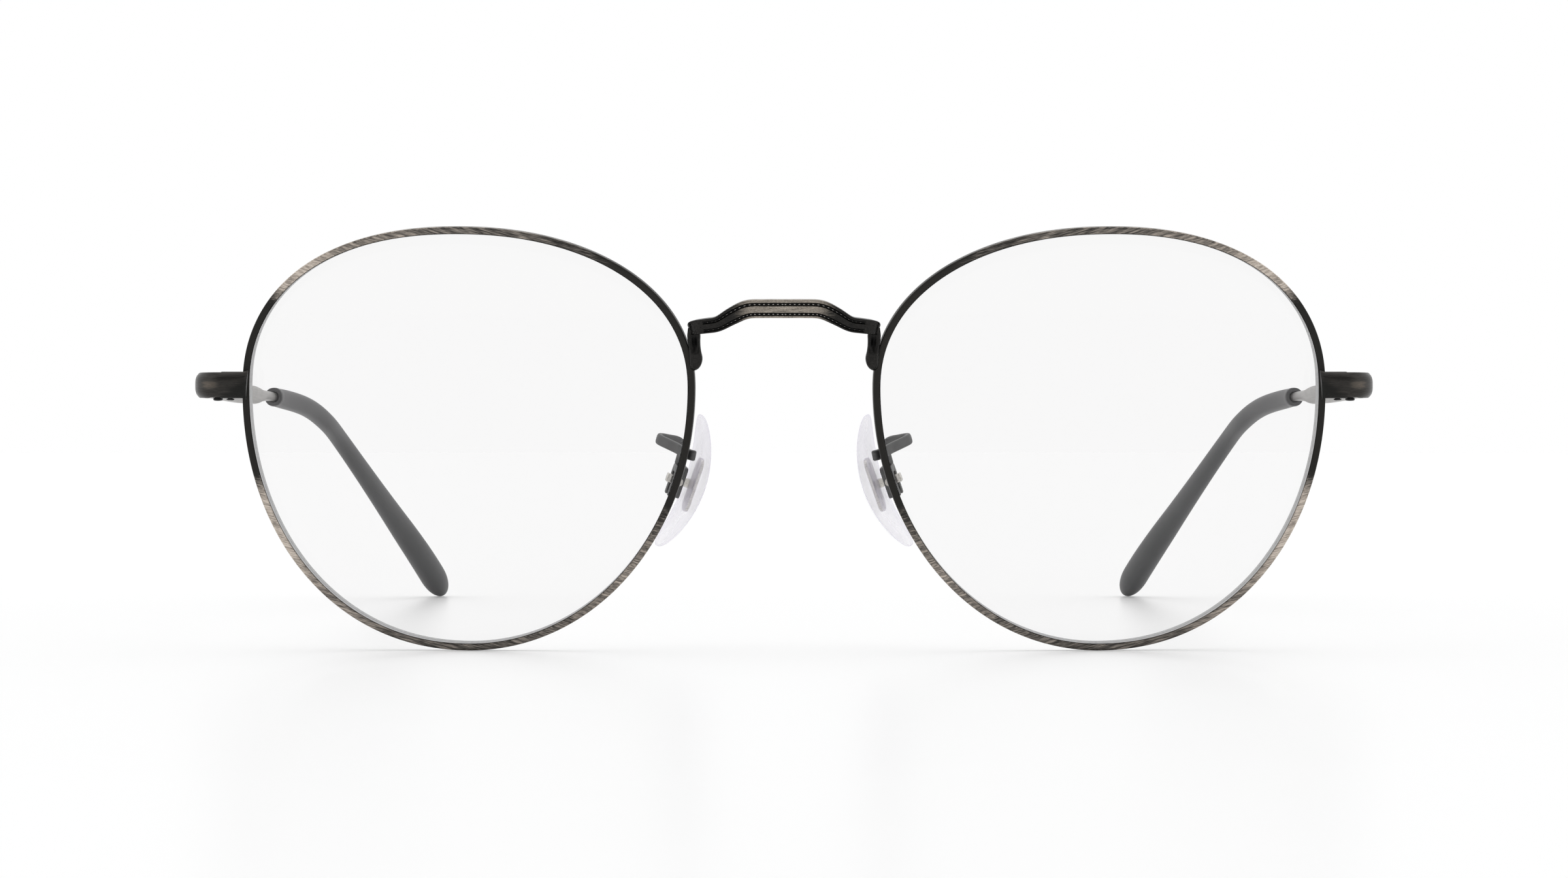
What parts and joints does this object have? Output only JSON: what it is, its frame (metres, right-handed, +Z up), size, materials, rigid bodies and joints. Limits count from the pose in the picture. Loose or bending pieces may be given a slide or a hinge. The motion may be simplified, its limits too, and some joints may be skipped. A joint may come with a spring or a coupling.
{
  "type": "round wire eyeglasses",
  "caption": "Round metal eyeglasses: clear lenses in split rims, an engraved arched bridge, nose pads that rock on their arms and temples that fold on screwed hinges.",
  "frame": {"origin": "on the surface that the glasses stand on, under the middle of their bounding box", "axes": "+X towards the wearer's left, +Y from the lenses back to the temple tips, +Z up"},
  "size_m": [0.141, 0.149, 0.0479],
  "materials": {
    "rim_metal": "antique gunmetal plating, brushed to bare warm grey over the tops, temporal sides and lower halves of the rims, the bridge and the endpieces, dark satin in between",
    "temple_metal": "satin silver grey",
    "dark_metal": "black satin plating",
    "steel": "bright machined steel",
    "lens": "clear, polished, with a ground edge",
    "pad_silicone": "clear silicone with a faint lavender cast",
    "tip_plastic": "satin dark grey moulded plastic"
  },
  "bodies": {
    "front": {"bridge": "rim_metal", "rim_left": "rim_metal", "lens_left": "lens", "endpiece_left": "rim_metal", "closing_block_upper_left": "dark_metal", "closing_block_lower_left": "dark_metal", "closing_screw_left": "dark_metal", "hinge_front_leaf_left": "dark_metal", "hinge_screw_left": "dark_metal", "pad_arm_left": "dark_metal", "pad_box_left": "dark_metal", "pad_screw_left": "steel", "rim_right": "rim_metal", "lens_right": "lens", "endpiece_right": "rim_metal", "closing_block_upper_right": "dark_metal", "closing_block_lower_right": "dark_metal", "closing_screw_right": "dark_metal", "hinge_front_leaf_right": "dark_metal", "hinge_screw_right": "dark_metal", "pad_arm_right": "dark_metal", "pad_box_right": "dark_metal", "pad_screw_right": "steel"},
    "left_temple": {"temple_left": "temple_metal", "temple_tip_left": "tip_plastic", "hinge_temple_leaf_left": "dark_metal"},
    "right_temple": {"temple_right": "temple_metal", "temple_tip_right": "tip_plastic", "hinge_temple_leaf_right": "dark_metal"},
    "left_pad": {"nose_pad_left": "pad_silicone", "pad_insert_left": "steel"},
    "right_pad": {"nose_pad_right": "pad_silicone", "pad_insert_right": "steel"}
  },
  "joints": [
    {"name": "temple_fold_right", "type": "hinge", "parent": "front", "child": "right_temple", "pos_m": [-0.0652, -0.05919, 0.0301], "axis": [0, 0, -1], "range_deg": [0, 87]},
    {"name": "temple_fold_left", "type": "hinge", "parent": "front", "child": "left_temple", "pos_m": [0.0652, -0.05919, 0.0301], "axis": [0, 0, 1], "range_deg": [0, 81]},
    {"name": "nose_pad_rock_right", "type": "hinge", "parent": "front", "child": "right_pad", "pos_m": [-0.0123, -0.06066, 0.01932], "axis": [-0.2127, 0.9547, 0.2081], "range_deg": [-3, 8]},
    {"name": "nose_pad_rock_left", "type": "hinge", "parent": "front", "child": "left_pad", "pos_m": [0.0123, -0.06066, 0.01932], "axis": [0.2127, 0.9547, 0.2081], "range_deg": [-8, 3]}
  ]
}
